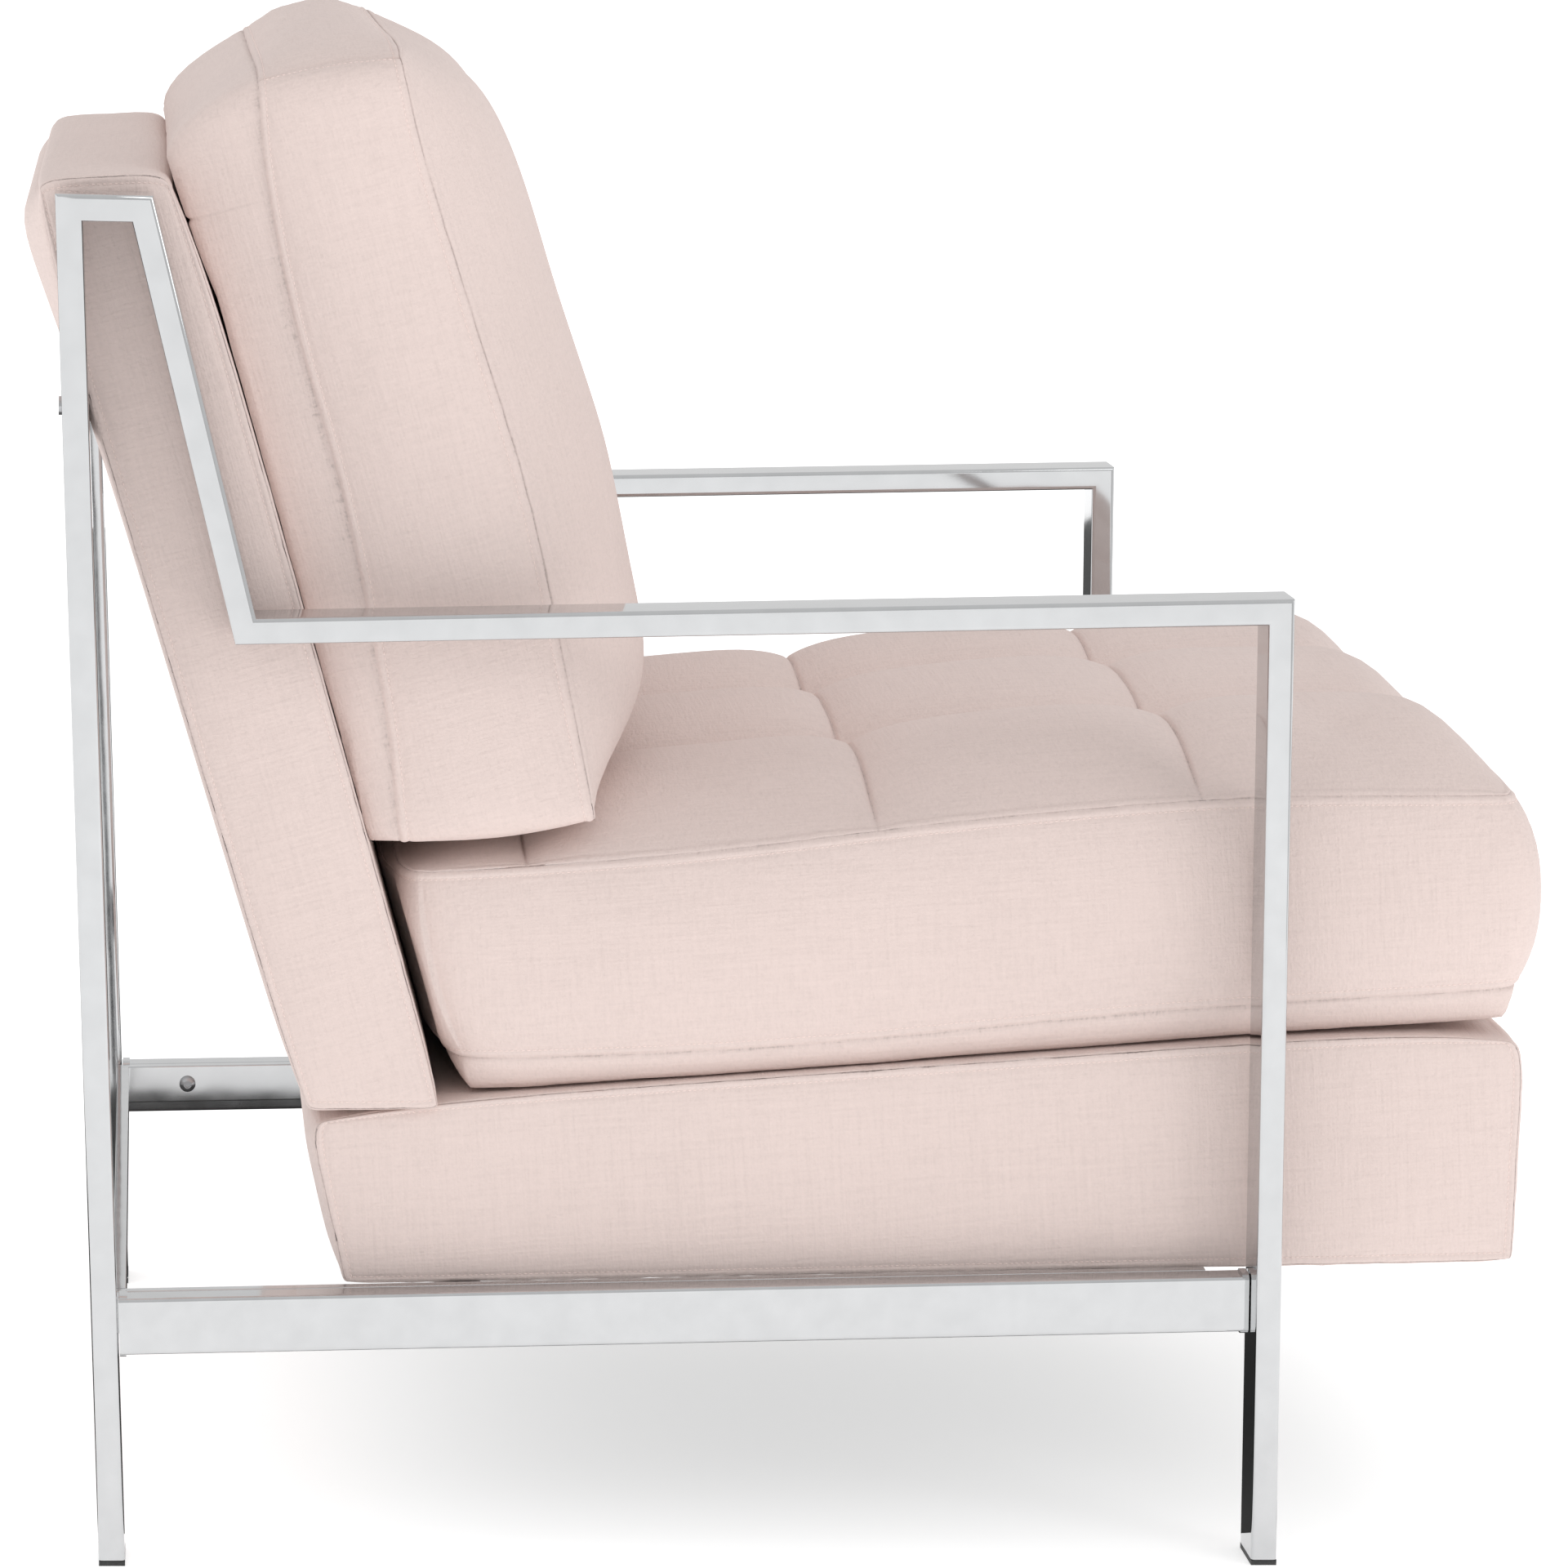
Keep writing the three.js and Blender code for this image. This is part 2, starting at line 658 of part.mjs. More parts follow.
/** The back cushion, standing on the rear of the seat cushion and leaning on the shell. */
function backCushion() {
  const outline = [
    [152, 402, 18],
    [262, 410, 24],
    [306, 500, 40],
    [283, 590, 40],
    [232, 770, 34],
    [190, 836, 34],
    [96, 852, 40],
    [37, 818, 26],
    [44, 765, 18],
  ];
  const solid = sideSlab(outline, 0, 2 * BACK_CUSHION_HALF, { edge: 14, segments: 4 });
  add("back_cushion", solid, "linen");
}

for (const [side, sign] of [["left", 1], ["right", -1]]) {
  sideFrame(side, sign);
  sideRail(side, sign);
}
subFrame();
boxStrips();
boxCovers();
boxBoards();
backShell();
backFixing();
seatCushion();
backCushion();

export default group;
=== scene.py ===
"""Looks of the lounge armchair: chromed flat tube, slub linen with topstitched seams, pale studio.

Side views are (forward, up) points. Blocks of upholstery are placed by shares of the box of the
CAD solid that they stand for, from rear to front and from bottom to top."""

import json
import math

import bmesh
import bpy
from mathutils import Matrix, Vector, kdtree, noise


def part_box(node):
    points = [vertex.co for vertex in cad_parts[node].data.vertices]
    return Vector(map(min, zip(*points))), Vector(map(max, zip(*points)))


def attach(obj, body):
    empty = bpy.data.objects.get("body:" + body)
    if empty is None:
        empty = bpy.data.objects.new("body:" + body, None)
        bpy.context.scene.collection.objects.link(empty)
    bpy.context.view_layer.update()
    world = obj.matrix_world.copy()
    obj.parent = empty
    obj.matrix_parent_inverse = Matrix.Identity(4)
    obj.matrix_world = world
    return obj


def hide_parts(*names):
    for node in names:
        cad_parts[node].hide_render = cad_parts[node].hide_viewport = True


MM = 0.001
# Distances from a seam, in millimetres, at which the mesh has a row of its own
NEAR_SEAM = (0.0, 0.6, 1.4, 2.4, 3.6, 4.8, 6.0, 8.0, 11.0, 15.0)
STITCH_ROW = 5
STITCH_PITCH = 3.1 * MM
STITCH_LENGTH = 2.2 * MM
STITCH_WIDTH = 0.62 * MM
ROW_STEP = 8 * MM
# How far from a seam across a band the band still has to know its distance from it
SEAM_REACH = 100 * MM
# Mitred ends of tubes this close to each other are one weld
WELD_GAP = 0.8 * MM

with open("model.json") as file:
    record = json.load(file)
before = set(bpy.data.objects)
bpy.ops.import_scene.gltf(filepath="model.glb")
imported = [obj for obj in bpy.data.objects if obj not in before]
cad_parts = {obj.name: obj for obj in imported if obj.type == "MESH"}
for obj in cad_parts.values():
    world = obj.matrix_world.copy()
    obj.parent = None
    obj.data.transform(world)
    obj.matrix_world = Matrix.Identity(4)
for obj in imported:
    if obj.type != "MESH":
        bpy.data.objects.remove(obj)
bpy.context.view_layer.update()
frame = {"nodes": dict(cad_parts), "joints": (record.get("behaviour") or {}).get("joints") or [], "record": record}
slope = Vector(next(j for j in frame["joints"] if j["child"] == "seat_cushion")["axis"])
rake = Vector(next(j for j in frame["joints"] if j["child"] == "back_cushion")["axis"])
across = Vector((1, 0, 0))
seat_up = across.cross(-slope).normalized()
back_front = across.cross(rake).normalized()


# ---------------------------------------------------------------- numbers and curves
def lerp(a, b, t):
    return a + (b - a) * t


def bump(distance, centre, width):
    return math.exp(-(((distance - centre) / width) ** 2))


def sign(value):
    return -1.0 if value < 0 else 1.0


def rows(length, marks=()):
    """Distances along a length: crowded beside both ends and beside every mark, even between."""
    stops = [0.0, *marks, length]
    found = [0.0]
    for start, stop in zip(stops, stops[1:]):
        near = [d * MM for d in NEAR_SEAM if d * MM < 0.45 * (stop - start)]
        first, last = start + near[-1], stop - near[-1]
        count = max(1, round((last - first) / ROW_STEP))
        found += [start + d for d in near[1:]]
        found += [lerp(first, last, i / count) for i in range(1, count)]
        found += [stop - d for d in reversed(near)]
    return found


def to_end(position, length):
    return min(position, length - position)


def insets(a, b, sizes):
    """How far inside its borders a point of a panel lies, across and along."""
    return (1 - abs(a)) / 2 * sizes[0], (1 - abs(b)) / 2 * sizes[1]


def smooth_curve(points):
    """A function of -1 to 1 that runs smoothly through side-view points."""
    points = [Vector(p) for p in points]
    last = len(points) - 1

    def at(share):
        place = (share + 1) / 2 * last
        i = min(max(int(place), 0), last - 1)
        f = place - i
        before, start = points[max(i - 1, 0)], points[i]
        stop, after = points[i + 1], points[min(i + 2, last)]
        leave = (stop - before) / (2 if i else 1)
        arrive = (after - start) / (2 if i + 1 < last else 1)
        bend = 2 * (start - stop) + leave + arrive
        ease = 3 * (stop - start) - 2 * leave - arrive
        return ((bend * f + ease) * f + leave) * f + start

    return at


def in_box(nodes, shares):
    """(y, z) points from shares of the box round some CAD nodes: rear to front, bottom to top."""
    boxes = [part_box(node) for node in nodes]
    low = Vector([min(box[0][k] for box in boxes) for k in range(3)])
    high = Vector([max(box[1][k] for box in boxes) for k in range(3)])
    return [(lerp(high.y, low.y, f), lerp(low.z, high.z, h)) for f, h in shares]


def half_width(nodes):
    return max(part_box(node)[1].x for node in nodes)


# ---------------------------------------------------------------- upholstery
def seam_relief(distance):
    """How far cloth stands out beside a sewn seam: the crease, the turned allowance, the stitching."""
    crease = -0.9 * bump(distance, 0, 0.9 * MM)
    allowance = 0.4 * bump(distance, 2.6 * MM, 1.3 * MM)
    pulled = -0.5 * bump(distance, NEAR_SEAM[STITCH_ROW] * MM, 0.9 * MM)
    return (crease + allowance + pulled) * MM


def puckers(point, distance, height=0.6 * MM, reach=16 * MM):
    """Small gathers that fade away from a seam."""
    if distance > 5 * reach:
        return 0.0
    return height * math.exp(-distance / reach) * noise.noise(point / (11 * MM))


def slackness(point, height, size):
    """Broad soft unevenness of stuffed cloth."""
    return height * noise.noise(point / size + Vector((3.1, 7.7, 1.3)))


def raised(distance, reach, power):
    """A profile that leaves a seam steeply and is level from reach onwards."""
    return 1 - max(0.0, 1 - distance / reach) ** power


class Block:
    """A sewn block: a low and a high panel of the same make, joined by a band around them.

    place(a, b, t) gives the sewn shape without stuffing: a and b run from -1 to 1 over a panel,
    t is 0 on the low panel and 1 on the high one."""

    def __init__(self, place, sizes, facing, marks=((), ()), marked=()):
        self.place = place
        self.sizes = sizes
        self.facing = facing
        self.marks = marks
        self.marked = marked
        self.a_rows = rows(sizes[0], marks[0])
        self.b_rows = rows(sizes[1], marks[1])
        self.band_rows = rows(sizes[2])

    def share(self, i, j):
        a = 2 * self.a_rows[i] / self.sizes[0] - 1
        b = 2 * self.b_rows[j] / self.sizes[1] - 1
        return a, b

    def loop(self, inset):
        """Index pairs around the panel, a number of rows in from its border."""
        low, a_high, b_high = inset, len(self.a_rows) - 1 - inset, len(self.b_rows) - 1 - inset
        ring = [(i, low) for i in range(low, a_high)]
        ring += [(a_high, j) for j in range(low, b_high)]
        ring += [(i, b_high) for i in range(a_high, low, -1)]
        return ring + [(low, j) for j in range(b_high, low, -1)]

    def sew(self, name, low_crown, high_crown, swell, corner_seams=()):
        """low_crown(a, b) and high_crown(a, b) raise the panels, swell(a, b, t) fills the band.
        corner_seams are the (a, b) corners where a seam runs across the band."""
        ring = self.loop(0)
        shares = [self.share(i, j) for i, j in ring]
        self.near_seam = []
        lows = [self.place(a, b, 0) for a, b in shares]
        highs = [self.place(a, b, 1) for a, b in shares]
        middles = [(low + high) / 2 for low, high in zip(lows, highs)]
        centre = sum(middles, Vector()) / len(middles)
        count = len(ring)
        corner_gaps = self.gaps_to(ring, middles, corner_seams)
        self.outward = []
        for k in range(count):
            along = middles[(k + 1) % count] - middles[k - 1]
            out = along.cross(highs[k] - lows[k]).normalized()
            self.outward.append(out * sign(out.dot(middles[k] - centre)))
        vertices = []
        self.band = []
        for position in self.band_rows:
            t = position / self.sizes[2]
            row = []
            for k, (a, b) in enumerate(shares):
                flat = lerp(lows[k], highs[k], t)
                distance = min(to_end(position, self.sizes[2]), corner_gaps[k])
                push = swell(a, b, t) + seam_relief(distance) + puckers(flat, distance)
                row.append(flat + self.outward[k] * push)
                self.near_seam.append(distance)
            self.band.append(row)
            vertices += row
        faces = []
        for r in range(len(self.band) - 1):
            for k in range(count):
                near, far = r * count + k, r * count + (k + 1) % count
                faces.append((near, far, far + count, near + count))
        self.panels = []
        for t, crown in ((0, low_crown), (1, high_crown)):
            shown = {}
            start = t * (len(self.band) - 1) * count
            index = {pair: start + k for k, pair in enumerate(ring)}
            for i, a_at in enumerate(self.a_rows):
                for j, b_at in enumerate(self.b_rows):
                    if (i, j) in index:
                        shown[i, j] = vertices[index[i, j]]
                        continue
                    a, b = self.share(i, j)
                    flat = self.place(a, b, t)
                    distance = min(to_end(a_at, self.sizes[0]), to_end(b_at, self.sizes[1]))
                    lift = crown(a, b) + seam_relief(distance) + puckers(flat, distance)
                    index[i, j] = len(vertices)
                    vertices.append(flat + self.facing[t] * lift)
                    # on marked panels the painted shade also runs along the tufted and sewn lines
                    if t in self.marked:
                        for marks, at in zip(self.marks, (a_at, b_at)):
                            distance = min([distance] + [abs(at - mark) for mark in marks])
                    self.near_seam.append(distance)
                    shown[i, j] = vertices[-1]
            self.panels.append(shown)
            for i in range(len(self.a_rows) - 1):
                for j in range(len(self.b_rows) - 1):
                    corners = ((i, j), (i + 1, j), (i + 1, j + 1), (i, j + 1))
                    quad = tuple(index[c] for c in corners)
                    faces.append(quad if t else quad[::-1])
        made = new_mesh(name, vertices, faces)
        # painted shade: a crease value beside every seam and sewn line, by which the linen darkens its colour
        crease = made.data.attributes.new("crease", "FLOAT", "POINT")
        crease.data.foreach_set("value", [bump(d, 0, 0.9 * MM) for d in self.near_seam])
        return made

    def gaps_to(self, ring, middles, corner_seams):
        """The distance along the band from each point of its ring to the nearest seam across it."""
        lasts = (len(self.a_rows) - 1, len(self.b_rows) - 1)
        corners = [(lasts[0] * (a > 0), lasts[1] * (b > 0)) for a, b in corner_seams]
        self.corner_at = [ring.index(corner) for corner in corners]
        steps = [(middles[(k + 1) % len(ring)] - middles[k]).length for k in range(len(ring))]
        gaps = [1.0] * len(ring)
        for start in self.corner_at:
            for way in (1, -1):
                gap, k = 0.0, start
                while gap < SEAM_REACH:
                    gaps[k] = min(gaps[k], gap)
                    gap += steps[k] if way > 0 else steps[k - 1]
                    k = (k + way) % len(ring)
        return gaps

    def band_paths(self):
        """The two rows of topstitching on the band, as (point, outward) pairs."""
        rings = [list(zip(self.band[row], self.outward)) for row in (STITCH_ROW, -1 - STITCH_ROW)]
        return [ring + ring[:1] for ring in rings]

    def corner_paths(self, ways):
        """The row of topstitching beside each seam across the band, on the side that ways gives."""
        columns = [start + way * STITCH_ROW for start, way in zip(self.corner_at, ways)]
        return [[(row[k], self.outward[k]) for row in self.band[STITCH_ROW:-STITCH_ROW]] for k in columns]

    def panel_paths(self):
        """The row of topstitching inside the border of each panel."""
        ring = self.loop(STITCH_ROW)
        ring.append(ring[0])
        return [[(panel[pair], self.facing[t]) for pair in ring] for t, panel in enumerate(self.panels)]


def new_mesh(name, vertices, faces, smooth=True):
    mesh = bpy.data.meshes.new(name)
    mesh.from_pydata([tuple(v) for v in vertices], [], faces)
    mesh.validate()
    if smooth:
        mesh.shade_smooth()
    made = bpy.data.objects.new(name, mesh)
    bpy.context.scene.collection.objects.link(made)
    bpy.context.view_layer.objects.active = made
    made.select_set(True)
    bpy.ops.object.mode_set(mode="EDIT")
    bpy.ops.mesh.select_all(action="SELECT")
    bpy.ops.mesh.normals_make_consistent(inside=False)
    bpy.ops.object.mode_set(mode="OBJECT")
    made.select_set(False)
    return made


def rounding(sizes, corner):
    """The power that lets a rounded corner turn smoothly from one side into the next."""
    return sizes[0] * sizes[1] / (2 * corner * (sizes[0] + sizes[1]))


def cushion_place(low_curve, high_curve, half, sizes, corners, pull):
    """The sewn shape of a loose cushion: its sides pull in between rounded corners, whose sizes
    are given for its two ends."""
    powers = [rounding(sizes, corner) for corner in corners]

    def place(a, b, t):
        corner, power = corners[b > 0], powers[b > 0]
        turned = (abs(a) * abs(b)) ** power
        x = a * (half - pull * (1 - b * b)) - sign(a) * corner * turned
        run = b - 2 / sizes[1] * (b * pull * (1 - a * a) + sign(b) * corner * turned)
        y, z = high_curve(run) if t else low_curve(run)
        return Vector((x, y, z))

    return place


def slab_place(corners, half, sizes, low_corner, high_corner):
    """The sewn shape of a fixed block whose panels face sideways: corners are its side view, from
    rear bottom to front bottom, front top and rear top."""
    powers = (rounding(sizes, low_corner), rounding(sizes, high_corner))

    def place(a, b, t):
        corner, power = (high_corner, powers[1]) if b > 0 else (low_corner, powers[0])
        turned = (abs(a) * abs(b)) ** power
        u = (a - 2 / sizes[0] * sign(a) * corner * turned + 1) / 2
        v = (b - 2 / sizes[1] * sign(b) * corner * turned + 1) / 2
        low = lerp(Vector(corners[0]), Vector(corners[1]), u)
        high = lerp(Vector(corners[3]), Vector(corners[2]), u)
        y, z = lerp(low, high, v)
        return Vector((lerp(-half, half, t), y, z))

    return place


def room_to(corners, point, direction, keep):
    """How far a point may move along a direction before it comes within keep of the line through
    two side-view corners."""
    start, stop = Vector(corners[0]), Vector(corners[1])
    normal = Vector((stop.y - start.y, start.x - stop.x)).normalized()
    normal *= sign(normal.dot(Vector((point.y, point.z)) - start))
    away = normal.dot(Vector((point.y, point.z)) - start)
    return max(0.0, (away - keep) / max(0.2, -normal.dot(Vector((direction.y, direction.z)))))


def dash(vertices, faces, centre, along, out):
    """One stitch: a short thread that dives into the cloth at both ends."""
    side = along.cross(out)
    first = len(vertices)
    vertices.append(centre - along * STITCH_LENGTH / 2 - out * STITCH_WIDTH * 0.3)
    for reach in (-0.3, 0.3):
        for k in range(5):
            turn = 2 * math.pi * k / 5
            round_off = (side * math.cos(turn) + out * math.sin(turn)) * STITCH_WIDTH / 2
            vertices.append(centre + along * STITCH_LENGTH * reach + round_off)
    vertices.append(centre + along * STITCH_LENGTH / 2 - out * STITCH_WIDTH * 0.3)
    for k in range(5):
        n = (k + 1) % 5
        a, b, c, d = first + 1 + k, first + 1 + n, first + 6 + n, first + 6 + k
        faces += [(first, b, a), (a, b, c, d), (d, c, first + 11)]


def stitches(name, paths):
    """Rows of stitches along (point, outward) paths."""
    vertices, faces = [], []
    for path in paths:
        travelled = 0.0
        due = STITCH_PITCH / 2
        for (start, out), (stop, _) in zip(path, path[1:]):
            length = (stop - start).length
            while length and due <= travelled + length:
                centre = lerp(start, stop, (due - travelled) / length) + out * 0.12 * MM
                dash(vertices, faces, centre, (stop - start).normalized(), out)
                due += STITCH_PITCH
            travelled += length
    return new_mesh(name, vertices, faces)


def finish_block(cover, body, nodes, paths):
    """A sewn cover stands for its CAD nodes, and topstitching runs along the paths on it."""
    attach(cover, body)
    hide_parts(*nodes)
    sewn = stitches(cover.name.replace("cover", "stitching"), paths)
    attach(sewn, body)
    return cover, sewn


# ---------------------------------------------------------------- the four upholstered blocks
BOX_COVERS = [f"box_cover_{side}" for side in ("rear", "front", "left", "right")] + ["box_deck"]
SHELL_COVERS = [f"back_cover_{side}" for side in ("rear", "front", "top", "left", "right")]
# Side views of the two fixed blocks: rear bottom, front bottom, front top, rear top
BOX_CORNERS = in_box(BOX_COVERS, [(0.037, 0.004), (1.002, 0.104), (1.004, 0.988), (0.003, 0.638)])
SHELL_CORNERS = in_box(SHELL_COVERS, [(0.657, -0.006), (1.004, -0.004), (0.320, 0.997), (-0.06, 0.985)])
# How far the sides of the fixed blocks stand out from their seams
SIDE_PADDING = 3 * MM


def seat_cushion():
    """The loose seat cushion: three rows of pillows, pulled down by tufts and sewn lines."""
    node = ["seat_cushion"]
    low_seam = [(0.034, 0.088), (0.336, 0.137), (0.683, 0.252), (1.003, 0.33)]
    high_seam = [(-0.012, 0.628), (0.247, 0.702), (0.498, 0.808), (0.739, 0.881), (0.992, 0.899)]
    low, high = smooth_curve(in_box(node, low_seam)), smooth_curve(in_box(node, high_seam))
    side_fullness, front_fullness, rear_fullness = 9 * MM, 15 * MM, 40 * MM
    half = half_width(node) - side_fullness
    depth = (high(1) - high(-1)).length
    sizes = (2 * half, depth, 113 * MM)
    channels = [sizes[0] * s for s in (1 / 3, 2 / 3)]
    tucks = [depth * s for s in (0.11, 0.415, 0.713)]
    place = cushion_place(low, high, half, sizes, (12 * MM, 8 * MM), pull=3 * MM)
    block = Block(place, sizes, (-seat_up, seat_up), (channels, tucks), marked=(1,))
    # The height of a pillow over the top seam and the deepest that a tuft sinks, in millimetres
    pillow, deepest = 43, 40

    def folds(a_at, b_at):
        """Two soft folds that run from a front tuft to each side seam, a share deep."""
        across_at = to_end(a_at, sizes[0])
        reach = min(1.0, across_at / (50 * MM)) * max(0.0, 1 - across_at / channels[0])
        leaving = tucks[2] + 45 * MM + 0.35 * (channels[0] - across_at)
        arriving = sizes[1] - 20 * MM - 0.55 * (channels[0] - across_at)
        return reach * (bump(b_at, leaving, 14 * MM) + 0.8 * bump(b_at, arriving, 14 * MM))

    def top(a, b):
        a_at, b_at = (a + 1) / 2 * sizes[0], (b + 1) / 2 * sizes[1]
        from_side, from_end = insets(a, b, sizes)
        lip = (55 if b > 0 else 160) * MM
        dome = raised(from_side, 150 * MM, 2.8) * raised(from_end, lip, 2.4)
        edge = raised(from_side, 50 * MM, 2) * raised(from_end, 20 * MM, 2)
        to_channel = min(abs(a_at - c) for c in channels)
        to_tuck = min(abs(b_at - c) for c in tucks)
        lines = 14 * math.exp(-to_channel / (48 * MM)) + 10 * math.exp(-to_channel / (14 * MM))
        lines += 11 * math.exp(-to_tuck / (20 * MM))
        knot = 5 * math.exp(-math.hypot(to_channel, to_tuck) / (24 * MM))
        nearest = min(to_channel, to_tuck)
        crease = 1.8 * bump(nearest, 0, 1.2 * MM)
        flat = place(a, b, 1)
        uneven = puckers(flat, nearest, 0.5 * MM, 10 * MM) + slackness(flat, 1.5 * MM, 90 * MM)
        sunk = min(deepest * dome, (lines + knot + crease) * edge) + 5 * dome * folds(a_at, b_at)
        return (pillow * dome - sunk) * MM + uneven * dome

    def under(a, b):
        room = room_to(BOX_CORNERS[2:], place(a, b, 0), -seat_up, 1.5 * MM)
        return min(22 * MM * raised(min(insets(a, b, sizes)), 18 * MM, 2), room)

    def swell(a, b, t):
        flat = lerp(place(a, b, 0), place(a, b, 1), t)
        middle = 1 - abs(2 * t - 1) ** 2.4
        if b < -0.99:
            from_side, _ = insets(a, b, sizes)
            pressed = raised(max(0.0, from_side - 50 * MM), 80 * MM, 2)
            room = room_to(SHELL_CORNERS[1:3], flat, -slope, lerp(8 * MM, 1.5 * MM, pressed))
            return min(lerp(12 * MM, rear_fullness, pressed) * middle, room)
        fullness = lerp(side_fullness, front_fullness, max(0.0, 2 * max(0.0, b) ** 8 - 1))
        return (fullness + slackness(flat, 1.6 * MM, 110 * MM)) * middle

    made = block.sew("seat_cushion_cover", under, top, swell)
    return finish_block(made, "seat_cushion", node, block.band_paths())


def back_cushion():
    """The loose back cushion: a plain crowned front, and a rear pressed flat by the shell."""
    node = ["back_cushion"]
    rear_seam = [(0.45, 0.022), (0.423, 0.178), (0.335, 0.421)]
    rear_seam += [(0.227, 0.637), (0.16, 0.823), (0.138, 0.957)]
    front_seam = [(0.88, 0.036), (0.824, 0.191), (0.728, 0.432)]
    front_seam += [(0.597, 0.665), (0.488, 0.86), (0.435, 0.99)]
    rear, front = smooth_curve(in_box(node, rear_seam)), smooth_curve(in_box(node, front_seam))
    side_fullness, top_fullness, bottom_fullness = 8 * MM, 18 * MM, 3 * MM
    half = half_width(node) - side_fullness
    height = (front(1) - front(-1)).length
    sizes = (2 * half, height, 94 * MM)
    # Where the rear panel is joined from two pieces of cloth
    join = 0.765 * height
    upright = cushion_place(rear, front, half, sizes, (4 * MM, 13 * MM), pull=5 * MM)

    def place(a, b, t):
        """The upright shape, with its two bottom corners hanging a little."""
        hang = lerp(17 * MM, 9 * MM, t) * abs(a) ** 6 * ((1 - b) / 2) ** 8
        return upright(a, b, t) - rake * hang

    block = Block(place, sizes, (-back_front, back_front), ((), [join]), marked=(0,))

    def panel(a, b, depth, reaches, power):
        """A crown that is level beyond its reaches, in millimetres, from sides, bottom and top."""
        from_side, from_end = insets(a, b, sizes)
        dome = raised(from_side, reaches[0] * MM, power)
        dome *= raised(from_end, reaches[1 + (b > 0)] * MM, power)
        return (depth + slackness(place(a, b, 1), 3 * MM, 130 * MM)) * dome

    def front_crown(a, b):
        return panel(a, b, 60 * MM, (200, 120, 160), 3) - 6 * MM * (1 - b * b) * (1 - a * a)

    def rear_crown(a, b):
        b_at = (b + 1) / 2 * sizes[1]
        crease = 1.6 * MM * bump(b_at, join, 1.6 * MM)
        flat = place(a, b, 0)
        room = room_to(SHELL_CORNERS[1:3], flat, -back_front, 0.8 * MM)
        above = raised(max(0.0, flat.z - SHELL_CORNERS[2][1] + 60 * MM), 90 * MM, 2)
        return min(panel(a, b, 56 * MM, (20, 30, 80), 3), room + 6 * MM * above) - crease

    def swell(a, b, t):
        flat = lerp(place(a, b, 0), place(a, b, 1), t)
        middle = 1 - abs(2 * t - 1) ** 2.2
        along_top = max(0.0, b) ** 40
        fullness = lerp(side_fullness, top_fullness * (1 - abs(a) ** 3), along_top)
        if b < 0:
            fullness = lerp(side_fullness, bottom_fullness, (-b) ** 40)
        from_side, _ = insets(a, b, sizes)
        gathers = 2.2 * MM * noise.noise(Vector((flat.x / (30 * MM), 3 * t, 0.4)))
        pleats = noise.noise(Vector((flat.x / (50 * MM), 9 * t, 2.7)))
        gathers += 1.4 * MM * math.exp(-from_side / (60 * MM)) * pleats
        return (fullness + along_top * gathers + slackness(flat, 2 * MM, 90 * MM)) * middle

    top_corners = ((-1, 1), (1, 1))
    made = block.sew("back_cushion_cover", rear_crown, front_crown, swell, top_corners)
    paths = block.band_paths() + block.corner_paths((1, -1))
    return finish_block(made, "back_cushion", node, paths)


def padded_side(place, sizes, reaches):
    """The crown of a fixed block's side: a thin layer of padding under the cloth."""

    def crown(a, b):
        from_end, from_top = insets(a, b, sizes)
        dome = raised(from_end, reaches[0], 2) * raised(from_top, reaches[1], 2)
        return (SIDE_PADDING + slackness(place(a, b, 1), 0.8 * MM, 100 * MM)) * dome

    return crown


def seat_box():
    """The box under the cushion, whose front and rear covers swell between their borders."""
    half = half_width(BOX_COVERS) - SIDE_PADDING
    sizes = (680 * MM, 125 * MM, 2 * half)
    place = slab_place(BOX_CORNERS, half, sizes, 1.5 * MM, 9 * MM)
    block = Block(place, sizes, (-across, across))
    side = padded_side(place, sizes, (40 * MM, 30 * MM))

    def swell(a, b, t):
        middle = raised(to_end(t * sizes[2], sizes[2]), 50 * MM, 2)
        return (5 * MM * (1 - b**4) if abs(a) > 0.99 else 0.0) * middle

    made = block.sew("seat_box_cover", side, side, swell)
    return finish_block(made, "frame", BOX_COVERS, block.panel_paths())


def back_shell():
    """The raked shell behind the back cushion, whose rear cover swells most below its top."""
    half = half_width(SHELL_COVERS) - SIDE_PADDING
    sizes = (78 * MM, 530 * MM, 2 * half)
    place = slab_place(SHELL_CORNERS, half, sizes, 3 * MM, 7 * MM)
    block = Block(place, sizes, (-across, across))
    side = padded_side(place, sizes, (30 * MM, 30 * MM))

    def swell(a, b, t):
        middle = raised(to_end(t * sizes[2], sizes[2]), 90 * MM, 2)
        if a < -0.99:
            return lerp(4 * MM, 20 * MM, max(0.0, b) ** 3) * middle * (1 - abs(b) ** 20)
        return (2 * MM if b > 0.99 else 1 * MM) * middle

    made = block.sew("back_shell_cover", side, side, swell)
    return finish_block(made, "frame", SHELL_COVERS, block.panel_paths())


# ---------------------------------------------------------------- welded side frames
def merged_node(node):
    """The vertices and faces of a CAD node, with the vertices that faces share made one."""
    mesh = bmesh.new()
    mesh.from_mesh(frame["nodes"][node].data)
    bmesh.ops.remove_doubles(mesh, verts=mesh.verts, dist=1e-6)
    mesh.verts.index_update()
    points = [v.co.copy() for v in mesh.verts]
    faces = [[v.index for v in face.verts] for face in mesh.faces]
    mesh.free()
    return points, faces


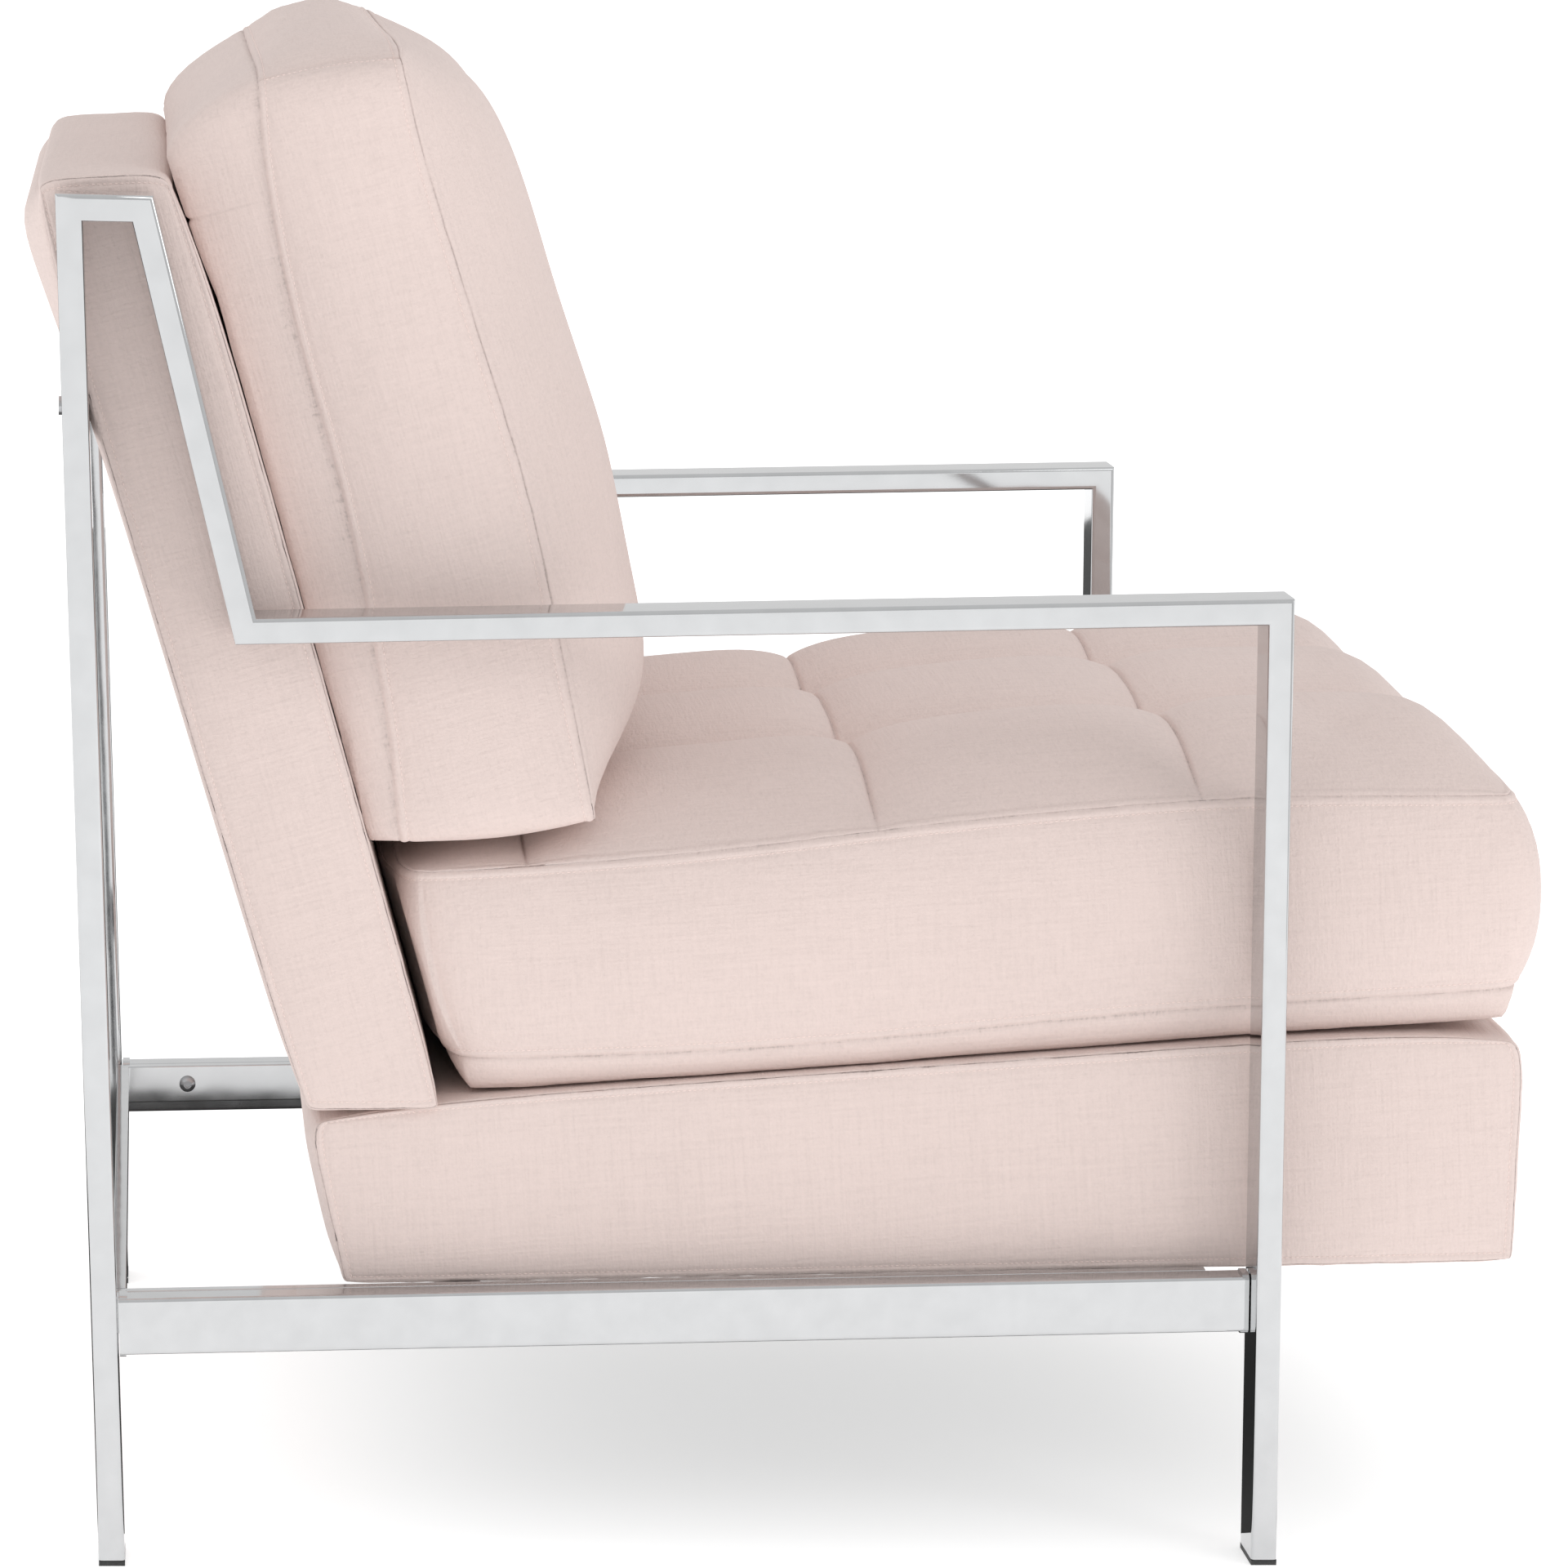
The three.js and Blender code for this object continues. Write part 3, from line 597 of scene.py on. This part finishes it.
def welded(name, nodes):
    """Mitred tubes as one ground and plated loop: the cut faces go, and the tubes' ends meet."""
    parts = [merged_node(node) for node in nodes]
    trees = []
    for points, _ in parts:
        tree = kdtree.KDTree(len(points))
        for i, point in enumerate(points):
            tree.insert(point, i)
        tree.balance()
        trees.append(tree)
    starts = [sum(len(points) for points, _ in parts[:k]) for k in range(len(parts))]
    vertices, partners = [], []
    for k, (points, _) in enumerate(parts):
        for point in points:
            found = [(tree.find(point), j) for j, tree in enumerate(trees) if j != k]
            (other, _, away), j = min(found, key=lambda item: item[0][2])
            meets = away < WELD_GAP
            vertices.append((point + other) / 2 if meets else point)
            partners.append(j if meets else None)
    faces = []
    for (_, own), start in zip(parts, starts):
        for face in own:
            shifted = [start + i for i in face]
            ends = {partners[i] for i in shifted}
            if None in ends or len(ends) > 1:
                faces.append(shifted)
    made = new_mesh(name, vertices, faces)
    mesh = bmesh.new()
    mesh.from_mesh(made.data)
    bmesh.ops.remove_doubles(mesh, verts=mesh.verts, dist=0.05 * MM)
    bmesh.ops.holes_fill(mesh, edges=[edge for edge in mesh.edges if edge.is_boundary])
    mesh.to_mesh(made.data)
    mesh.free()
    made.data.set_sharp_from_angle(angle=math.radians(40))
    flat = made.modifiers.new("flat_faces", "WEIGHTED_NORMAL")
    flat.keep_sharp = True
    flat.weight = 100
    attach(made, "frame")
    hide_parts(*nodes)
    return made


# ---------------------------------------------------------------- materials
class Surface:
    """A node material with one shader and short ways to feed it."""

    def __init__(self, name, color, roughness, metallic=0.0, **constants):
        self.material = bpy.data.materials.new(name)
        self.material.use_nodes = True
        self.nodes = self.material.node_tree.nodes
        self.links = self.material.node_tree.links
        self.shader = self.nodes["Principled BSDF"]
        self.shader.inputs["Base Color"].default_value = (*color, 1)
        self.shader.inputs["Roughness"].default_value = roughness
        self.shader.inputs["Metallic"].default_value = metallic
        for key, value in constants.items():
            self.shader.inputs[key.replace("_", " ")].default_value = value
        self.coordinates = self.nodes.new("ShaderNodeTexCoord").outputs["Object"]

    def stretched(self, scale, tilt=0.0):
        """Coordinates turned about X by tilt, then scaled along each axis."""
        turn = self.nodes.new("ShaderNodeMapping")
        turn.inputs["Rotation"].default_value = (tilt, 0, 0)
        self.links.new(self.coordinates, turn.inputs["Vector"])
        stretch = self.nodes.new("ShaderNodeMapping")
        stretch.inputs["Scale"].default_value = scale
        self.links.new(turn.outputs["Vector"], stretch.inputs["Vector"])
        return stretch.outputs["Vector"]

    def noise(self, scale, tilt=0.0, detail=2.0, rough=0.5):
        """Noise with scale grains to the metre along each axis."""
        texture = self.nodes.new("ShaderNodeTexNoise")
        texture.inputs["Scale"].default_value = 1.0
        texture.inputs["Detail"].default_value = detail
        texture.inputs["Roughness"].default_value = rough
        self.links.new(self.stretched(scale, tilt), texture.inputs["Vector"])
        return texture.outputs["Fac"]

    def math(self, kind, first, second):
        node = self.nodes.new("ShaderNodeMath")
        node.operation = kind
        for socket, value in zip(node.inputs, (first, second)):
            if isinstance(value, (int, float)):
                socket.default_value = value
            else:
                self.links.new(value, socket)
        return node.outputs["Value"]

    def total(self, parts):
        """The weighted sum of (value, weight) pairs, each value centred on a half."""
        result = 0.0
        for value, weight in parts:
            centred = self.math("MULTIPLY", self.math("SUBTRACT", value, 0.5), weight)
            result = self.math("ADD", result, centred)
        return result

    def color_ramp(self, value, stops):
        ramp = self.nodes.new("ShaderNodeValToRGB")
        while len(ramp.color_ramp.elements) < len(stops):
            ramp.color_ramp.elements.new(0.5)
        for element, (place, color) in zip(ramp.color_ramp.elements, stops):
            element.position = place
            element.color = (*color, 1)
        self.links.new(value, ramp.inputs["Fac"])
        self.links.new(ramp.outputs["Color"], self.shader.inputs["Base Color"])

    def rough(self, value, low, high):
        """Roughness from low to high as a value goes from 0 to 1."""
        spread = self.math("MULTIPLY_ADD", value, high - low)
        spread.node.inputs[2].default_value = low
        self.links.new(spread, self.shader.inputs["Roughness"])

    def relief(self, height, distance, strength=1.0):
        node = self.nodes.new("ShaderNodeBump")
        node.inputs["Strength"].default_value = strength
        node.inputs["Distance"].default_value = distance
        self.links.new(height, node.inputs["Height"])
        self.links.new(node.outputs["Normal"], self.shader.inputs["Normal"])


def shade(color, factor):
    return tuple(min(1.0, c * factor) for c in color)


def finish_color(slot):
    """The base colour that the record gives a slot."""
    found = next(m for m in frame["record"]["materials"] if m["slot"] == slot)
    return tuple(found["base_color"])


def linen(name, tilt=0.0):
    """Slub linen: uneven threads both ways, nearly one colour, matt with a faint nap, with painted shade darkening
    it beside its seams and sewn lines.
    """
    color = finish_color("linen")
    made = Surface(name, color, 0.92, Sheen_Weight=0.12, Sheen_Roughness=0.6, Specular_IOR_Level=0.2)
    threads = [
        made.noise((620, 34, 620), tilt, 2),
        made.noise((620, 620, 34), tilt, 2),
        made.noise((34, 620, 620), tilt, 2),
    ]
    slubs = [
        made.noise((420, 22, 380), tilt, 1),
        made.noise((420, 380, 22), tilt, 1),
        made.noise((22, 380, 420), tilt, 1),
    ]
    cloud = made.noise((9, 9, 9), tilt, 3)
    weave = made.total([(t, 0.9) for t in threads] + [(s, 0.6) for s in slubs])
    tone = made.total([(t, 0.3) for t in threads] + [(s, 0.22) for s in slubs] + [(cloud, 0.3)])
    # painted shade: the cloth is darkened beside seams and sewn lines by the crease attribute, down towards the
    # darkest stop of the ramp
    crease = made.nodes.new("ShaderNodeAttribute")
    crease.attribute_name = "crease"
    sunk = made.math("MULTIPLY", crease.outputs["Fac"], 0.28)
    centred = made.math("SUBTRACT", made.math("ADD", tone, 0.6), sunk)
    made.color_ramp(
        centred,
        [(0.1, shade(color, 0.62)), (0.35, shade(color, 0.93)), (0.6, color), (0.85, shade(color, 1.05))],
    )
    made.relief(weave, 0.35 * MM, 0.9)
    return made.material


def thread(name):
    """Twisted sewing thread, a little paler than the cloth."""
    color = shade(finish_color("linen"), 1.2)
    made = Surface(name, color, 0.7)
    twist = made.noise((1500, 1500, 1500), 0, 2)
    made.color_ramp(twist, [(0.2, shade(color, 0.93)), (0.8, shade(color, 1.06))])
    made.relief(twist, 0.1 * MM, 0.5)
    return made.material


def plated(name, low, high, wave):
    """Bright plate over ground steel: clear reflections with faint waviness and haze.

    In a white studio nothing darkens it, so its colour is taken down from the record's."""
    color = shade(finish_color(name), 0.71)
    made = Surface(name, color, lerp(low, high, 0.5), 1.0)
    haze = made.noise((60, 60, 60), 0, 4)
    made.color_ramp(haze, [(0.3, shade(color, 0.96)), (0.7, shade(color, 1.02))])
    made.rough(haze, low, high)
    made.relief(made.noise((26, 26, 26), 0, 1), wave, 0.5)
    return made.material


def plywood(name):
    """Sanded plywood with its grain across the chair."""
    color = finish_color("plywood")
    made = Surface(name, color, 0.75)
    grain = made.noise((9, 160, 160), 0, 5, 0.6)
    pores = made.noise((40, 900, 900), 0, 2)
    made.color_ramp(grain, [(0.25, shade(color, 0.6)), (0.5, color), (0.75, shade(color, 1.25))])
    made.rough(pores, 0.6, 0.9)
    made.relief(made.total([(grain, 0.5), (pores, 0.5)]), 0.4 * MM, 0.6)
    return made.material


def speckled(name, slot, roughness, grain, depth):
    """Moulded rubber or felted cloth: a fine uneven grain."""
    color = finish_color(slot)
    made = Surface(name, color, roughness)
    speckle = made.noise((grain, grain, grain), 0, 3, 0.6)
    made.color_ramp(speckle, [(0.3, shade(color, 0.7)), (0.7, shade(color, 1.5))])
    made.rough(speckle, roughness - 0.08, min(1.0, roughness + 0.08))
    made.relief(speckle, depth, 0.6)
    return made.material


def webbing(name):
    """Elastic webbing with a rib both ways."""
    color = finish_color("webbing")
    made = Surface(name, color, 0.85)
    warp, weft = made.noise((900, 60, 900), 0, 1), made.noise((60, 900, 900), 0, 1)
    rib = made.total([(warp, 1.0), (weft, 1.0)])
    made.color_ramp(made.math("ADD", rib, 0.5), [(0.3, shade(color, 0.7)), (0.7, shade(color, 1.2))])
    made.relief(rib, 0.5 * MM, 0.8)
    return made.material


def dress(pieces, material):
    """Gives pieces one material in place of any they had."""
    for piece in pieces:
        piece.data.materials.clear()
        piece.data.materials.append(material)


# ---------------------------------------------------------------- studio
def floor():
    """A white floor that gives back enough light to vanish into the background."""
    half = 30
    made = new_mesh(
        "studio_floor",
        [(-half, -half, 0), (half, -half, 0), (half, half, 0), (-half, half, 0)],
        [(0, 1, 2, 3)],
    )
    surface = Surface("studio_white", (0.9, 0.9, 0.9), 0.9)
    surface.shader.inputs["Emission Color"].default_value = (1, 1, 1, 1)
    surface.shader.inputs["Emission Strength"].default_value = 0.56
    tone = surface.noise((2, 2, 2), 0, 2)
    surface.color_ramp(tone, [(0.3, (0.89, 0.89, 0.89)), (0.7, (0.91, 0.91, 0.91))])
    dress([made], surface.material)


def card(name, corner, right, up, grey):
    """A flat card that only reflections see."""
    corner, right, up = Vector(corner), Vector(right), Vector(up)
    made = new_mesh(name, [corner, corner + right, corner + right + up, corner + up], [(0, 1, 2, 3)])
    surface = Surface(name, (grey, grey, grey), 1.0)
    surface.color_ramp(surface.noise((3, 3, 3)), [(0.3, (grey,) * 3), (0.7, (grey * 1.1,) * 3)])
    dress([made], surface.material)
    made.visible_camera = False
    made.visible_diffuse = False
    made.visible_shadow = False


def area_light(name, place, aim, size, power):
    data = bpy.data.lights.new(name, "AREA")
    data.shape = "RECTANGLE"
    data.size, data.size_y = size
    data.energy = power
    made = bpy.data.objects.new(name, data)
    made.location = place
    made.rotation_euler = (Vector(aim) - Vector(place)).to_track_quat("-Z", "Y").to_euler()
    bpy.context.scene.collection.objects.link(made)


def sky(horizon, overhead):
    """Plain light from all round, a little brighter overhead."""
    world = bpy.data.worlds.new("studio_world")
    bpy.context.scene.world = world
    world.use_nodes = True
    nodes, links = world.node_tree.nodes, world.node_tree.links
    coordinates = nodes.new("ShaderNodeTexCoord")
    height = nodes.new("ShaderNodeSeparateXYZ")
    ramp = nodes.new("ShaderNodeValToRGB")
    for element, position, grey in zip(ramp.color_ramp.elements, (0.0, 0.8), (horizon, overhead)):
        element.position = position
        element.color = (grey, grey, grey, 1)
    links.new(coordinates.outputs["Generated"], height.inputs[0])
    links.new(height.outputs["Z"], ramp.inputs["Fac"])
    links.new(ramp.outputs["Color"], nodes["Background"].inputs["Color"])


def studio():
    floor()
    card("grey_card_far", (2.6, 0.62, 0.0), (0.3, 1.6, 0), (0, 0, 2.2), 0.10)
    card("grey_card_floor", (-0.3, -0.36, 0.004), (4.8, 0, 0), (0, 1.5, 0), 0.08)
    card("grey_card_front", (2.6, -1.5, 0.0), (0.3, -1.6, 0), (0, 0, 2.2), 0.16)
    area_light("key", (-2.7, -2.3, 2.1), (0, 0, 0.4), (1.2, 1.2), 11)
    sky(0.78, 0.82)
    bpy.context.scene.view_settings.view_transform = "Standard"


def camera():
    """A long lens at the near side, a little behind the middle, looking slightly down."""
    place = Vector((-3.782, 0.366, 0.991))
    yaw, pitch, roll = 0.1035, 0.1572, 0.0281
    ahead = Vector((math.cos(yaw), -math.sin(yaw), 0))
    right = Vector((-math.sin(yaw), -math.cos(yaw), 0))
    up = Vector((0, 0, 1))
    ahead, up = (
        ahead * math.cos(pitch) - up * math.sin(pitch),
        up * math.cos(pitch) + ahead * math.sin(pitch),
    )
    right, up = (
        right * math.cos(roll) + up * math.sin(roll),
        up * math.cos(roll) - right * math.sin(roll),
    )
    data = bpy.data.cameras.new("camera")
    data.lens = 145.7
    data.sensor_width = 36
    made = bpy.data.objects.new("camera", data)
    turn = Matrix((right, up, -ahead)).transposed().to_4x4()
    made.matrix_world = Matrix.Translation(place) @ turn
    bpy.context.scene.collection.objects.link(made)
    bpy.context.scene.camera = made


# ---------------------------------------------------------------- all together
def main():
    tilt = math.atan2(rake.y, rake.z)
    level = linen("linen_level", math.atan2(slope.z, -slope.y))
    raked = linen("linen_raked", tilt)
    sewing = thread("sewing_thread")
    for build, cloth in (
        (seat_cushion, level),
        (back_cushion, raked),
        (seat_box, level),
        (back_shell, raked),
    ):
        cover, sewn = build()
        dress([cover], cloth)
        dress([sewn], sewing)
    finishes = {
        "chrome": plated("chrome", low=0.04, high=0.09, wave=0.2 * MM),
        "zinc": plated("zinc", low=0.25, high=0.4, wave=0.05 * MM),
        "spring_steel": plated("spring_steel", low=0.35, high=0.55, wave=0.05 * MM),
        "cap": speckled("rubber", "cap", roughness=0.6, grain=900, depth=0.1 * MM),
        "plywood": plywood("plywood"),
        "lining": speckled("dust_cover", "lining", roughness=0.9, grain=500, depth=0.2 * MM),
        "webbing": webbing("webbing"),
    }
    for side in ("left", "right"):
        tubes = ("rear_leg", "top_bar", "brace", "arm", "front_leg")
        loop = welded(f"side_frame_{side}", [f"{tube}_{side}" for tube in tubes])
        dress([loop], finishes["chrome"])
    slots = {s["node"]: s["material_slot"] for s in frame["record"]["subparts"]}
    for name, node in frame["nodes"].items():
        if slots[name] in finishes:
            dress([node], finishes[slots[name]])
    studio()
    camera()


main()
